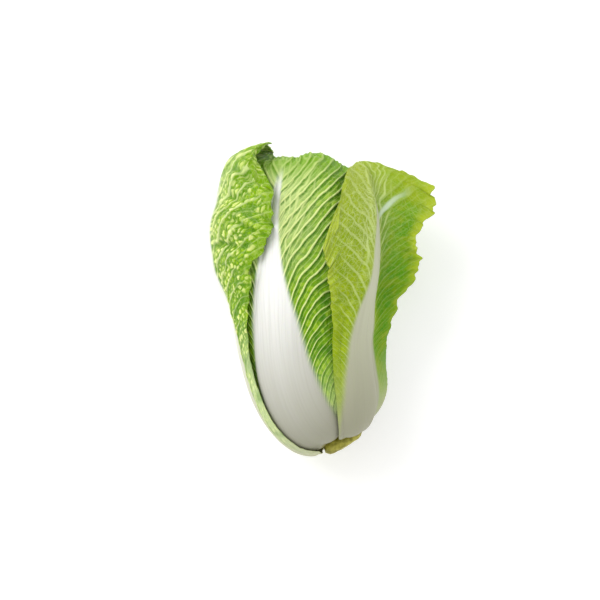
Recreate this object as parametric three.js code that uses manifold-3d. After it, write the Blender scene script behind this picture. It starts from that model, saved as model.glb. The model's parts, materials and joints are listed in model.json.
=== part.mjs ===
// A head of napa cabbage lying on its side: a cut stem, ten leaves that lie on one another in a
// spiral, and a dense heart whose own leaf tips show between them at the top.
//
// Millimetres. The head is built upright along +Y (stem at y = 0, leaf tips at about y = 275), with the
// side that faces up when it lies at +Z. It is then tipped so that its flank rests on the ground, and
// moved so that the ground is z = 0 and the middle of its outline is x = y = 0.
//
// Every leaf lies on the ones inside it. A height map over the head, h(angle, s), holds how far the
// leaves laid so far reach out from the heart, and each new leaf is laid on a smooth cover of that map.
import * as THREE from "three";
import { mergeVertices } from "three/addons/utils/BufferGeometryUtils.js";
import Module from "manifold-3d";

const wasm = await Module();
wasm.setup();

// ---- driving dimensions -------------------------------------------------------------------------
// The heart's side line, from the stem to the pole at the top, as points at equal steps of s.
const HEART_RADIUS = [12, 27, 38, 45, 48.5, 50.5, 51.5, 49, 43, 33, 19, 0];
const HEART_Y = [24, 33, 51, 77, 105, 133, 161, 189, 213, 231, 243, 248];

const LEAF_GAP = 1.2; // clear air between one leaf and the next
const BLADE = 1.2; // thickness of the green blade
const RIM_BLADE = 0.9; // thickness of the blade at its very edge

// Leaf proportions at equal steps from the leaf's foot to its tip.
const RIB_HALF_WIDTH = [21, 35, 37, 32, 27, 20.5, 13.5, 8.5, 5.5, 3.5, 2];
const RIB_THICKNESS = [4.5, 7, 8, 7.6, 6.8, 5.9, 5, 4.2, 3.4, 2.6, 1.8];
const BLADE_HALF_WIDTH = [23, 38, 43, 47, 56, 70, 84, 95, 100, 95, 76];
const RIB_SHARE = 1 / 3; // of a leaf's columns, those that make the rib
const VEINS = 13; // side veins on each half of a leaf
const RUFFLES = 6; // waves along each edge

const STEM_RADIUS = 20; // at the cut face
const STEM_TOP_RADIUS = 7.5; // inside the head
const STEM_TOP_Y = 23;
const STEM_FOOT_Y = 2; // where the lowest leaves stand
const CUT_Y = -0.5;
const BUTT_BEND = 0.44; // radians by which the stem end curves towards +X
const BEND_LENGTH = 108; // over this length above the stem

const LYING_PITCH = THREE.MathUtils.degToRad(6.2); // tips up, so that the flank lies level
const PRESSED = 5; // how much of the lowest rib is pressed flat on the ground
const LEAST_WALL = 0.8;

// ---- helpers ------------------------------------------------------------------------------------
const clamp = (x, low, high) => Math.min(Math.max(x, low), high);
const smooth = (x, low, high) => {
  const t = clamp((x - low) / (high - low), 0, 1);
  return t * t * (3 - 2 * t);
};

/** Value at x (0 to 1) of a Catmull-Rom curve through values at equal steps. */
function along(values, x) {
  const last = values.length - 1;
  const place = clamp(x, 0, 1) * last;
  const i = Math.min(Math.floor(place), last - 1);
  const t = place - i;
  const b = values[i];
  const c = values[i + 1];
  const a = i > 0 ? values[i - 1] : 2 * b - c;
  const d = i + 2 <= last ? values[i + 2] : 2 * c - b;
  const [linear, square, cube] = [c - a, 2 * a - 5 * b + 4 * c - d, 3 * b - a - 3 * c + d];
  return 0.5 * (2 * b + linear * t + square * t * t + cube * t * t * t);
}

/** The head's side line at s: radius, y, and the outward normal in that plane. */
function sideLine(s) {
  const step = 0.004;
  const s0 = clamp(s - step, 0, 1);
  const s1 = clamp(s + step, 0, 1);
  const dr = along(HEART_RADIUS, s1) - along(HEART_RADIUS, s0);
  const dy = along(HEART_Y, s1) - along(HEART_Y, s0);
  const size = Math.hypot(dr, dy);
  return { r: along(HEART_RADIUS, s), y: along(HEART_Y, s), nr: dy / size, ny: -dr / size };
}

/** A point h outside the heart's side line, at an angle (degrees) from +Z towards +X. */
function onHead(angle, s, h) {
  const line = sideLine(s);
  const r = line.r + h * line.nr;
  const turn = THREE.MathUtils.degToRad(angle);
  return new THREE.Vector3(r * Math.sin(turn), line.y + h * line.ny, r * Math.cos(turn));
}

/** Curves the stem end towards +X and tips the whole head so that it lies on its flank. */
function settle(p) {
  const below = BEND_LENGTH - p.y;
  if (below > 0) {
    const k = BUTT_BEND / BEND_LENGTH;
    const turn = k * below;
    const x = (1 - Math.cos(turn)) / k + p.x * Math.cos(turn);
    p.y = BEND_LENGTH - Math.sin(turn) / k + p.x * Math.sin(turn);
    p.x = x;
  }
  return p.applyAxisAngle(new THREE.Vector3(1, 0, 0), LYING_PITCH);
}

// ---- the height map -----------------------------------------------------------------------------
const TURNS = 72; // cells round the head
const STEPS = 54; // cells from stem to pole
const cell = (i, j) => ((i % TURNS) + TURNS) % TURNS + TURNS * clamp(j, 0, STEPS);

/** A copy of a map in which each cell is made from its 3 by 3 neighbours. */
function filtered(map, make) {
  const out = new Float64Array(map.length);
  for (let j = 0; j <= STEPS; j++)
    for (let i = 0; i < TURNS; i++) {
      const near = [];
      for (let dj = -1; dj <= 1; dj++) for (let di = -1; di <= 1; di++) near.push(map[cell(i + di, j + dj)]);
      out[cell(i, j)] = make(near);
    }
  return out;
}
const highest = (near) => Math.max(...near);
const mean = (near) => near.reduce((sum, v) => sum + v, 0) / near.length;

/** A smooth cover that lies on the map everywhere and bridges its hollows. */
function coverOf(map) {
  const close = filtered(filtered(map, highest), mean);
  let wide = close;
  for (let n = 0; n < 3; n++) wide = filtered(wide, mean);
  const joined = close.map((v, i) => Math.max(v, wide[i]));
  return filtered(filtered(joined, highest), mean).map((v, i) => 0.5 * (v + joined[i]));
}

/** Value of a map at any angle (degrees) and s. */
function sample(map, angle, s) {
  const x = (angle / 360) * TURNS;
  const y = clamp(s, 0, 1) * STEPS;
  const i = Math.floor(x);
  const j = Math.min(Math.floor(y), STEPS - 1);
  const u = x - i;
  const v = y - j;
  return (
    (map[cell(i, j)] * (1 - u) + map[cell(i + 1, j)] * u) * (1 - v) +
    (map[cell(i, j + 1)] * (1 - u) + map[cell(i + 1, j + 1)] * u) * v
  );
}

// ---- leaves -------------------------------------------------------------------------------------
// A point of a leaf is (q, b): q runs -1 to 1 across it, with the rib inside RIB_SHARE, and b 0 to 1
// along it. Lines of equal b climb from the rib to the edge as the side veins do.

/** Signed distance across the leaf, in millimetres, and its share of the half width there. */
function across(leaf, q, b) {
  const side = along(q < 0 ? leaf.left : leaf.right, b);
  const rib = along(RIB_HALF_WIDTH, b) * leaf.size * along(leaf.ribbed, b);
  const edge = Math.max(along(BLADE_HALF_WIDTH, b) * leaf.size * side, rib + 2);
  const n = Math.abs(q);
  const outside = (n - RIB_SHARE) / (1 - RIB_SHARE);
  const width = outside < 0 ? (rib * n) / RIB_SHARE : rib + (edge - rib) * outside;
  return { rib, edge, width: Math.sign(q) * width, share: width / edge };
}

/** Where a point of a leaf lies on the head. */
function place(leaf, q, b) {
  const wide = across(leaf, q, b);
  const climb = 0.085 * Math.sin(Math.PI * clamp(b / 0.86, 0, 1)) * wide.share ** 0.8;
  const drop = leaf.round[q < 0 ? 0 : 1] * wide.share ** 2.4 * smooth(b, 0.3, 1);
  const s = leaf.foot + (leaf.tip - leaf.foot) * (b + climb * smooth(b, 0, 0.3) - drop);
  const line = sideLine(s);
  const reach = Math.max(line.r + leaf.level * line.nr, 30);
  const centre = leaf.angle + leaf.drift * b ** leaf.late;
  const degrees = clamp(THREE.MathUtils.radToDeg(wide.width / reach), -150, 150);
  return { ...wide, s, centre, reach, angle: centre + degrees };
}

/** How far the blade stands off the leaf beneath: veins, puckers, a waved edge, folds and a curled tip. */
function wave(leaf, b, at) {
  const blade = smooth(Math.abs(at.width), at.rib, at.rib + 22);
  const ridge = 0.5 + 0.5 * Math.cos(2 * Math.PI * VEINS * b);
  const side = Math.sign(at.width);
  const phase = 1.7 * leaf.seed + side + 0.9 * Math.sin(9 * b);
  const ruffle = 0.5 + 0.5 * Math.sin(2 * Math.PI * RUFFLES * b + phase);
  const edge = smooth(at.share, 0.62, 1) * smooth(b, 0.2, 0.5);
  const tip = smooth(b, 0.86, 1);
  const tipWave = 0.5 + 0.5 * Math.sin(at.width * 0.16 + leaf.seed);
  const fold = 0.5 + 0.5 * Math.sin(b * 44 + 1.6 * at.share + leaf.seed);
  return (
    leaf.pucker * blade * ridge +
    Math.max(leaf.frill * edge * ruffle, leaf.tipFrill * tip * tipWave) +
    leaf.folds * blade * smooth(b, 0.5, 0.72) * fold +
    leaf.curl * smooth(b, 0.85, 1) ** 2
  );
}

/** Thickness of a leaf: a thick crowned rib that thins into the blade. */
function thickness(leaf, b, at) {
  const share = clamp(Math.abs(at.width) / at.rib, 0, 1);
  const crown = (1 - share ** 2.4) ** 0.8;
  const blade = BLADE + (RIM_BLADE - BLADE) * smooth(at.share, 0.8, 1);
  return blade + (along(RIB_THICKNESS, b) * leaf.size - BLADE) * crown;
}

/** The two faces of a leaf at (q, b), where it lies, and the height of its outer face. */
function leafPoint(leaf, cover, q, b) {
  const at = place(leaf, q, b);
  const free = smooth(b, 0.45, 0.75);
  const loose = leaf.loose * smooth(b, 0.1, 0.6) * (1 - 0.7 * smooth(b, 0.75, 1));
  const clear = LEAF_GAP + 1.4 * smooth(at.s, 0.55, 0.95) + loose;
  const gap = leaf.fused ? -2.6 + (clear + 2.6) * free : clear;
  const wall = thickness(leaf, b, at) + (leaf.fused ? 2.6 * (1 - free) : 0);
  const inner = sample(cover, at.angle, at.s) + gap + wave(leaf, b, at);
  const outer = inner + wall;
  const hinge = at.rib + 3;
  const beyond = at.width - hinge;
  if (!leaf.spread || beyond <= 0)
    return { at, outer, in: onHead(at.angle, at.s, inner), out: onHead(at.angle, at.s, outer) };

  // This half of the blade doesn't wrap: it leaves the head beside the rib and stands out.
  const hingeAngle = at.centre + THREE.MathUtils.radToDeg(hinge / at.reach);
  const turn = THREE.MathUtils.degToRad(hingeAngle);
  const heading = leaf.spread - 16 * smooth(b, 0.5, 0.95);
  const ease = smooth(b, 0.2, 0.55) * (beyond / (beyond + 9));
  const lean = THREE.MathUtils.degToRad(hingeAngle + 90 - heading) * ease;
  const tangent = new THREE.Vector3(Math.cos(turn), 0, -Math.sin(turn));
  const outward = new THREE.Vector3(Math.sin(turn), 0, Math.cos(turn));
  const path = tangent.clone().multiplyScalar(Math.cos(lean)).addScaledVector(outward, Math.sin(lean));
  const normal = outward.clone().multiplyScalar(Math.cos(lean)).addScaledVector(tangent, -Math.sin(lean));
  const start = sample(cover, hingeAngle, at.s) + gap;
  const base = onHead(hingeAngle, at.s, start).addScaledVector(path, beyond);
  const lift = wave(leaf, b, at) * (1 + 0.6 * smooth(beyond, 0, 20));
  return {
    at,
    outer,
    in: base.clone().addScaledVector(normal, lift),
    out: base.clone().addScaledVector(normal, lift + wall),
  };
}

/** Adds what a leaf covers to the height map. */
function layOn(map, leaf, cover) {
  const columns = 120;
  const rows = 130;
  for (let j = 0; j <= rows; j++)
    for (let i = 0; i <= columns; i++) {
      const { at, outer } = leafPoint(leaf, cover, (2 * i) / columns - 1, j / rows);
      if (leaf.spread && at.width > at.rib + 6) continue;
      const k = cell(Math.round((at.angle / 360) * TURNS), Math.round(at.s * STEPS));
      map[k] = Math.max(map[k], outer);
    }
}

/** A closed geometry from two grids of points, outer and inner, joined round their rim. */
function sheetGeometry(outer, inner, columns, rows) {
  const points = [...outer, ...inner];
  const half = outer.length;
  const id = (i, j) => i + (columns + 1) * j;
  const faces = [];
  for (let j = 0; j < rows; j++)
    for (let i = 0; i < columns; i++) {
      const [a, b, c, d] = [id(i, j), id(i + 1, j), id(i + 1, j + 1), id(i, j + 1)];
      faces.push(a, b, c, a, c, d);
      faces.push(half + a, half + c, half + b, half + a, half + d, half + c);
    }
  const rim = [];
  for (let i = 0; i < columns; i++) rim.push(id(i, 0));
  for (let j = 0; j < rows; j++) rim.push(id(columns, j));
  for (let i = columns; i > 0; i--) rim.push(id(i, rows));
  for (let j = rows; j > 0; j--) rim.push(id(0, j));
  rim.forEach((a, n) => {
    const b = rim[(n + 1) % rim.length];
    faces.push(a, half + a, b, b, half + a, half + b);
  });
  const geometry = new THREE.BufferGeometry().setFromPoints(points);
  geometry.setIndex(faces);
  return geometry;
}

/** A leaf as a closed sheet on the head, before it is settled. */
function leafSheet(leaf, cover, columns, rows) {
  const outer = [];
  const inner = [];
  for (let j = 0; j <= rows; j++)
    for (let i = 0; i <= columns; i++) {
      const point = leafPoint(leaf, cover, (2 * i) / columns - 1, j / rows);
      outer.push(point.out);
      inner.push(point.in);
    }
  return sheetGeometry(outer, inner, columns, rows);
}

/** Moves every vertex of a geometry by a function. */
function moved(geometry, move) {
  const position = geometry.getAttribute("position");
  for (let i = 0; i < position.count; i++) {
    const p = move(new THREE.Vector3().fromBufferAttribute(position, i), i);
    position.setXYZ(i, p.x, p.y, p.z);
  }
  return geometry;
}

/** A geometry's closed surface as a manifold solid. */
function solidOf(geometry) {
  const bare = geometry.clone();
  bare.deleteAttribute("normal");
  bare.deleteAttribute("uv");
  const merged = mergeVertices(bare, 1e-4);
  return new wasm.Manifold(
    new wasm.Mesh({
      numProp: 3,
      vertProperties: merged.getAttribute("position").array,
      triVerts: new Uint32Array(merged.index.array),
    }),
  );
}

/** A manifold solid as a geometry, without any hollow sealed inside it. */
function geometryOf(solid) {
  const body = solid.decompose().reduce((best, part) => (part.volume() > best.volume() ? part : best));
  const mesh = body.getMesh();
  const geometry = new THREE.BufferGeometry();
  geometry.setAttribute("position", new THREE.BufferAttribute(new Float32Array(mesh.vertProperties), 3));
  geometry.setIndex(new THREE.BufferAttribute(new Uint32Array(mesh.triVerts), 1));
  return geometry;
}

// ---- the leaves, from the outside inwards -------------------------------------------------------
// angle is where a leaf's foot stands and drift how far its rib leans round towards the tip, both in
// degrees from +Z towards +X; level is its usual height in the stack, spread the heading of a half that
// stands out. Each leaf stands about two fifths of a turn on from the one before.
const even = [1, 1, 1, 1, 1]; // a share of the usual width at equal steps from the foot to the tip
const common = {
  foot: 0, drift: 8, late: 1, left: even, right: even, size: 1, ribbed: even, round: [0.17, 0.17], loose: 0,
  pucker: 1.4, frill: 3, tipFrill: 3.5, folds: 0, curl: 0, spread: 0, fused: false,
};
const GOLDEN = 137.5; // degrees from one inner leaf to the next
const wrappers = [
  {
    name: "leaf_01_left", angle: -125, drift: 36, late: 0.6, tip: 0.99, left: [1, 0.95, 0.8, 0.7, 0.7],
    right: [0.8, 1.24, 1.14, 0.9, 0.73], ribbed: [0.6, 0.7, 0.8, 0.8, 0.8], round: [0.2, 0.12], folds: 4.5,
    frill: 3, curl: 9,
  },
  {
    name: "leaf_02_right", angle: 37, drift: 50, late: 2.4, tip: 0.9, left: [0.7, 0.6, 0.5, 0.53, 0.85],
    right: [1.4, 1.1, 0.81, 0.67, 0.8], ribbed: [0.62, 0.58, 0.85, 1.2, 1.1], round: [0.2, 0.09], loose: 4.5,
    frill: 4.5, spread: 98,
  },
  { name: "leaf_03_under", angle: 175, drift: 7, tip: 0.92, left: [1, 1, 0.97, 0.9, 0.9], frill: 2 },
  {
    name: "leaf_04_front", angle: -42, drift: 36, tip: 0.975, right: [1.2, 1.35, 1.15, 1, 1], loose: 1.5,
    frill: 2, curl: 3,
  },
  { name: "leaf_05_flank", angle: 108, drift: 4, tip: 0.92 },
].map((leaf, n) => ({ ...common, seed: n, level: 22 - 2 * n, ...leaf }));

const INNER_LEAVES = 5;
for (let n = 0; n < INNER_LEAVES; n++)
  wrappers.push({
    ...common,
    name: `leaf_${String(n + 6).padStart(2, "0")}_inner`,
    seed: n + 5,
    level: 12 - 1.8 * n,
    angle: 107 + GOLDEN * (n + 1),
    tip: 0.92 + 0.005 * n,
    size: 0.92 - 0.025 * n,
    frill: 0.8,
    tipFrill: 1,
    pucker: 0.3,
    left: [1, 1, 0.95, 0.82, 0.75],
    right: [1, 1, 0.95, 0.82, 0.75],
  });

const HEART_LEAVES = 4;
const heartLeaves = [];
for (let n = 0; n < HEART_LEAVES; n++)
  heartLeaves.push({
    ...common,
    seed: n + 20,
    level: 3,
    angle: 108 + GOLDEN * (n + 1 + INNER_LEAVES),
    foot: 0.4,
    tip: 0.97 + 0.006 * n,
    size: 0.5,
    frill: 0.6,
    tipFrill: 2.5,
    pucker: 0.3,
    fused: true,
  });

/** The dense heart: a core with the innermost leaves fused to it, their tips standing free. */
function heartGeometry(covers) {
  const CORE_TOP = 0.8;
  const profile = [];
  const steps = 12;
  for (let i = 0; i <= steps; i++) {
    const line = sideLine((CORE_TOP * i) / steps);
    profile.push(new THREE.Vector2(line.r - 0.5, line.y));
  }
  const top = profile[profile.length - 1];
  profile.push(new THREE.Vector2(top.x * 0.6, top.y + 5), new THREE.Vector2(0, top.y + 6));
  profile.unshift(new THREE.Vector2(0, profile[0].y + 1));
  let heart = solidOf(new THREE.LatheGeometry(profile, 28));
  for (const leaf of heartLeaves) heart = heart.add(solidOf(leafSheet(leaf, covers.get(leaf), 10, 14)));
  return geometryOf(heart);
}

/** The cut stem: a cone that the leaf feet stand on, with a bevelled cut face. */
function stemGeometry() {
  const profile = [
    [0, CUT_Y - 0.6],
    [STEM_RADIUS * 0.55, CUT_Y - 0.3],
    [STEM_RADIUS - 1.2, CUT_Y],
    [STEM_RADIUS, CUT_Y + 1.5],
    [STEM_RADIUS, STEM_FOOT_Y],
    [STEM_TOP_RADIUS, STEM_TOP_Y],
    [0, STEM_TOP_Y],
  ].map(([r, y]) => new THREE.Vector2(r, y));
  return new THREE.LatheGeometry(profile, 24);
}

// ---- laying the head ----------------------------------------------------------------------------
const heightMap = new Float64Array(TURNS * (STEPS + 1));
const covers = new Map();
for (const leaf of [...heartLeaves].reverse().concat([...wrappers].reverse())) {
  const cover = coverOf(heightMap);
  covers.set(leaf, cover);
  layOn(heightMap, leaf, cover);
}

const pieces = wrappers.map((leaf, n) => {
  const [columns, rows] = n < 5 ? [14, 2 * VEINS] : [12, 2 * VEINS - 8];
  return [leaf.name, leafSheet(leaf, covers.get(leaf), columns, rows), 0xa9c95a];
});
pieces.push(["heart", heartGeometry(covers), 0xe3e6a0], ["cut_stem", stemGeometry(), 0xcbb97a]);
for (const [, geometry] of pieces) moved(geometry, settle);

const outline = new THREE.Box3();
for (const [, geometry] of pieces) {
  const corners = new THREE.Box3().setFromBufferAttribute(geometry.getAttribute("position"));
  outline.union(corners);
}
const ground = outline.min.z + PRESSED;
const middle = outline.getCenter(new THREE.Vector3());
const shift = new THREE.Vector3(-middle.x, -middle.y, -ground);

/** Moves a piece over the ground and presses it flat there. A leaf's inner face stays a wall above. */
function lay(geometry, isLeaf) {
  const half = geometry.getAttribute("position").count / 2;
  return moved(geometry, (p, i) => {
    p.add(shift);
    p.z = Math.max(p.z, isLeaf && i >= half ? LEAST_WALL : 0);
    return p;
  });
}

const group = new THREE.Group();
for (const [name, geometry, color] of pieces) {
  lay(geometry, name.startsWith("leaf"));
  const material = new THREE.MeshStandardMaterial({ color, roughness: 0.55, metalness: 0 });
  const mesh = new THREE.Mesh(geometry, material);
  mesh.name = name;
  group.add(mesh);
}

export default group;
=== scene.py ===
"""A head of napa cabbage lying on its side, on a pale floor in soft studio light.

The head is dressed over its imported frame: every leaf, the heart and the cut stem get a fine surface
with ribs, side veins, puckers and ruffled edges, and living-leaf materials. Sizes are millimetres
until a mesh is written, which is in metres.
"""

import json
import logging
import math
from dataclasses import dataclass, field
from enum import Enum
from typing import Dict, List, Optional, Sequence, Tuple, Union

import bpy
import numpy as np
from mathutils import Matrix, Vector


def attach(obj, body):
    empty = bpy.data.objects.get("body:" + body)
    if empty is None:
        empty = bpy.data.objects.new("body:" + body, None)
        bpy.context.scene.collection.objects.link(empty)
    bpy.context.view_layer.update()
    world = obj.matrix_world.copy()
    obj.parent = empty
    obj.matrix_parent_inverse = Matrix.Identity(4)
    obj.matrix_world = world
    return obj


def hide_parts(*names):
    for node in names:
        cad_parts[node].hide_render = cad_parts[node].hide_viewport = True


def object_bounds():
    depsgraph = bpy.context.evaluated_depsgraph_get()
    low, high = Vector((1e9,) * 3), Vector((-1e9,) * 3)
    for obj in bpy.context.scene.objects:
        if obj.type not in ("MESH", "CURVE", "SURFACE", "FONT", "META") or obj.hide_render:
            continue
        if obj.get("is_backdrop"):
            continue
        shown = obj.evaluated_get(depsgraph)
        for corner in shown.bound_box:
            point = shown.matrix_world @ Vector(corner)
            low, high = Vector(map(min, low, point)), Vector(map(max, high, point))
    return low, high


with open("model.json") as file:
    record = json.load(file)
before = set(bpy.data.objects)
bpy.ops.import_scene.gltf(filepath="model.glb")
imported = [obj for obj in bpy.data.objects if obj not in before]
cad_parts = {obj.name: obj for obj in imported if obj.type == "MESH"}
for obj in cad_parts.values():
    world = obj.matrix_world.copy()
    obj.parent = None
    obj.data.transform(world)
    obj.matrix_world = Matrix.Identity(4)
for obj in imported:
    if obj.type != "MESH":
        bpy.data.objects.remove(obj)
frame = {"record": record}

LOG = logging.getLogger("napa_cabbage")
MM = 0.001
Array = np.ndarray
Socket = bpy.types.NodeSocket
Links = Union[Dict, Sequence]
Factor = Union[Socket, float, Tuple]

# ---- the head's own proportions ------------------------------------------------------------------
# The heart's side line, from the stem to the pole at the top, as points at equal steps of s.
HEART_RADIUS = [12, 27, 38, 45, 48.5, 50.5, 51.5, 49, 43, 33, 19, 0]
HEART_Y = [24, 33, 51, 77, 105, 133, 161, 189, 213, 231, 243, 248]

LEAF_GAP = 1.2  # clear air between one leaf and the next
BLADE = 1.2  # thickness of the green blade
RIM_BLADE = 0.9  # thickness of the blade at its very edge

# Leaf proportions at equal steps from the leaf's foot to its tip.
RIB_HALF_WIDTH = [21, 35, 37, 32, 27, 20.5, 13.5, 8.5, 5.5, 3.5, 2]
RIB_THICKNESS = [4.5, 7, 8, 7.6, 6.8, 5.9, 5, 4.2, 3.4, 2.6, 1.8]
BLADE_HALF_WIDTH = [23, 38, 43, 47, 56, 70, 84, 95, 100, 95, 76]
RIB_SHARE = 1 / 3  # of the way across a leaf, the part that is rib
RIB_COLUMNS = 0.22  # of its grid's columns, those on the rib
VEINS = 13  # puckers along each half of a leaf
VEIN_PITCH = 5  # from one side vein to the next at the foot, along the rib
VEIN_GROWTH = 30  # the pitch grows by one part in this of the length
VEIN_RISE = 34  # how far a side vein climbs before it bends over
VEIN_BEND = 20  # width of blade over which it does so
LEAF_LENGTH = 262  # from foot to tip, along the rib
RUFFLES = 6  # waves along each edge
ACROSS_UNIT = 100  # of the finish's map across a leaf
UP_UNITS = 3  # of that map along a leaf, so that each is 87 mm

STEM_RADIUS = 20  # at the cut face
STEM_TOP_RADIUS = 7.5  # inside the head
STEM_TOP_Y = 23
CUT_Y = -0.5  # the cut face
BUTT_BEND = 0.44  # radians by which the stem end curves towards +X
BEND_LENGTH = 108  # over this length above the stem

LYING_PITCH = math.radians(6.2)  # tips up, so that the flank lies level
LEAST_WALL = 0.8  # of a leaf where it is pressed flat on the ground
PRESS_REACH = 16  # how near the box's end the tips begin to be pressed back
PRESS_ROOM = 14.5  # how much of that reach the tips can take up
BOX_CLEAR = 0.02  # kept between the finish and the box
HEAD_SHIFT = np.array([-26.247, -144.031, 51.292])  # from the settled head to the middle of its outline


# ---- small maths ---------------------------------------------------------------------------------
def smooth(x: Array, low: float, high: float) -> Array:
    """Smooth step from 0 at low to 1 at high.

    Args:
        x: where to read the step.
        low: where it starts.
        high: where it ends.

    Returns:
        Values from 0 to 1.
    """
    t = np.clip((x - low) / (high - low), 0, 1)
    return t * t * (3 - 2 * t)


def along(values: Sequence[float], x: Array) -> Array:
    """Value at x (0 to 1) of a Catmull-Rom curve through values at equal steps.

    Args:
        values: the values at equal steps.
        x: where to read the curve.

    Returns:
        The curve's value at each x.
    """
    v = np.asarray(values, float)
    last = len(v) - 1
    spot = np.clip(x, 0, 1) * last
    i = np.minimum(np.floor(spot).astype(int), last - 1)
    t = spot - i
    b = v[i]
    c = v[i + 1]
    a = np.where(i > 0, v[np.maximum(i - 1, 0)], 2 * b - c)
    d = np.where(i + 2 <= last, v[np.minimum(i + 2, last)], 2 * c - b)
    linear, square, cube = c - a, 2 * a - 5 * b + 4 * c - d, 3 * b - a - 3 * c + d
    return 0.5 * (2 * b + linear * t + square * t * t + cube * t * t * t)


def side_line(s: Array) -> Tuple[Array, Array, Array, Array]:
    """The head's side line at s.

    Args:
        s: place along the side line, 0 at the stem and 1 at the top.

    Returns:
        Radius, y, and the outward normal's radial and y parts.
    """
    step = 0.004
    s0 = np.clip(s - step, 0, 1)
    s1 = np.clip(s + step, 0, 1)
    dr = along(HEART_RADIUS, s1) - along(HEART_RADIUS, s0)
    dy = along(HEART_Y, s1) - along(HEART_Y, s0)
    size = np.hypot(dr, dy)
    return along(HEART_RADIUS, s), along(HEART_Y, s), dy / size, -dr / size


def on_head(angle: Array, s: Array, h: Array) -> Array:
    """Points h outside the heart's side line.

    Args:
        angle: degrees from +Z towards +X.
        s: place along the side line.
        h: height over it.

    Returns:
        Points, one row each.
    """
    r0, y0, nr, ny = side_line(s)
    r = r0 + h * nr
    turn = np.radians(angle)
    return np.stack([r * np.sin(turn), y0 + h * ny, r * np.cos(turn)], -1)


def settle(p: Array) -> Array:
    """Curves the stem end towards +X and tips the head so that it lies on its flank.

    Args:
        p: points of the upright head.

    Returns:
        The points as the head lies.
    """
    x, y, z = p[..., 0], p[..., 1], p[..., 2]
    k = BUTT_BEND / BEND_LENGTH
    turn = k * np.maximum(BEND_LENGTH - y, 0)
    bent_x = (1 - np.cos(turn)) / k + x * np.cos(turn)
    bent_y = BEND_LENGTH - np.sin(turn) / k + x * np.sin(turn)
    x, y = np.where(turn > 0, bent_x, x), np.where(turn > 0, bent_y, y)
    c, s = math.cos(LYING_PITCH), math.sin(LYING_PITCH)
    return np.stack([x, y * c - z * s, y * s + z * c], -1)


# ---- the height map ------------------------------------------------------------------------------
class StackMap:
    """How far the leaves laid so far reach out from the heart, by angle and s."""

    TURNS = 72
    STEPS = 54

    def __init__(self) -> None:
        """Starts with a bare heart."""
        self.heights = np.zeros((self.STEPS + 1, self.TURNS))

    @staticmethod
    def _near(grid: Array) -> List[Array]:
        """The 3 by 3 neighbours of every cell.

        Args:
            grid: a cover or a map.

        Returns:
            Nine grids, each shifted by one step or none.
        """
        padded = np.concatenate([grid[:1], grid, grid[-1:]], 0)
        rows = [padded[:-2], padded[1:-1], padded[2:]]
        return [np.roll(row, shift, 1) for row in rows for shift in (1, 0, -1)]

    @classmethod
    def highest(cls, grid: Array) -> Array:
        """Each cell as the highest of its neighbours."""
        return np.max(cls._near(grid), 0)

    @classmethod
    def mean(cls, grid: Array) -> Array:
        """Each cell as the mean of its neighbours."""
        return np.mean(cls._near(grid), 0)

    def cover(self) -> Array:
        """A smooth cover that lies on the map everywhere and bridges its hollows.

        Returns:
            The cover, as a grid like the map.
        """
        close = self.mean(self.highest(self.heights))
        wide = close
        for _ in range(3):
            wide = self.mean(wide)
        joined = np.maximum(close, wide)
        return 0.5 * (self.mean(self.highest(joined)) + joined)

    def add(self, angle: Array, s: Array, height: Array) -> None:
        """Raises the map to a leaf laid on it.

        Args:
            angle: degrees from +Z towards +X.
            s: place along the side line.
            height: of the leaf's outer face over the side line.
        """
        i = np.floor(angle / 360 * self.TURNS + 0.5).astype(int) % self.TURNS
        j = np.clip(np.floor(s * self.STEPS + 0.5).astype(int), 0, self.STEPS)
        np.maximum.at(self.heights, (j, i), height)

    @classmethod
    def sample(cls, grid: Array, angle: Array, s: Array) -> Array:
        """A grid's value at any place.

        Args:
            grid: a cover or a map.
            angle: degrees from +Z towards +X.
            s: place along the side line.

        Returns:
            The value at each place.
        """
        x = angle / 360 * cls.TURNS
        y = np.clip(s, 0, 1) * cls.STEPS
        i = np.floor(x).astype(int)
        j = np.minimum(np.floor(y).astype(int), cls.STEPS - 1)
        u, v = x - i, y - j
        i0, i1 = i % cls.TURNS, (i + 1) % cls.TURNS
        low = grid[j, i0] * (1 - u) + grid[j, i1] * u
        high = grid[j + 1, i0] * (1 - u) + grid[j + 1, i1] * u
        return low * (1 - v) + high * v


# ---- fine detail --------------------------------------------------------------------------------
def lattice(seed: int, i: Array, j: Array) -> Tuple[Array, Array]:
    """Two steady random numbers from 0 to 1 for each cell of a lattice.

    Args:
        seed: which lattice.
        i: the cells' columns.
        j: the cells' rows.

    Returns:
        Two arrays of numbers.
    """
    # A sine of large numbers, of which only the far decimals are kept.
    a = np.sin(i * 127.1 + j * 311.7 + seed * 17.3) * 43758.5453
    b = np.sin(i * 269.5 + j * 183.3 + seed * 41.9) * 28001.8384
    return a - np.floor(a), b - np.floor(b)


def cell_edges(x: Array, y: Array, seed: int) -> Tuple[Array, Array]:
    """A net of irregular cells, as between the small veins of a leaf.

    Args:
        x: place across, in cells.
        y: place along, in cells.
        seed: which net.

    Returns:
        Distance to the nearest line of the net, 0 on it, and a random number for each cell.
    """
    i0, j0 = np.floor(x), np.floor(y)
    first = np.full(x.shape, 9.0)
    second = np.full(x.shape, 9.0)
    tag = np.zeros(x.shape)
    for di in (-1, 0, 1):
        for dj in (-1, 0, 1):
            u, v = lattice(seed, i0 + di, j0 + dj)
            d = np.hypot(i0 + di + u - x, j0 + dj + v - y)
            nearer = d < first
            second = np.where(nearer, first, np.minimum(second, d))
            tag = np.where(nearer, u, tag)
            first = np.where(nearer, d, first)
    return second - first, tag


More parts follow.
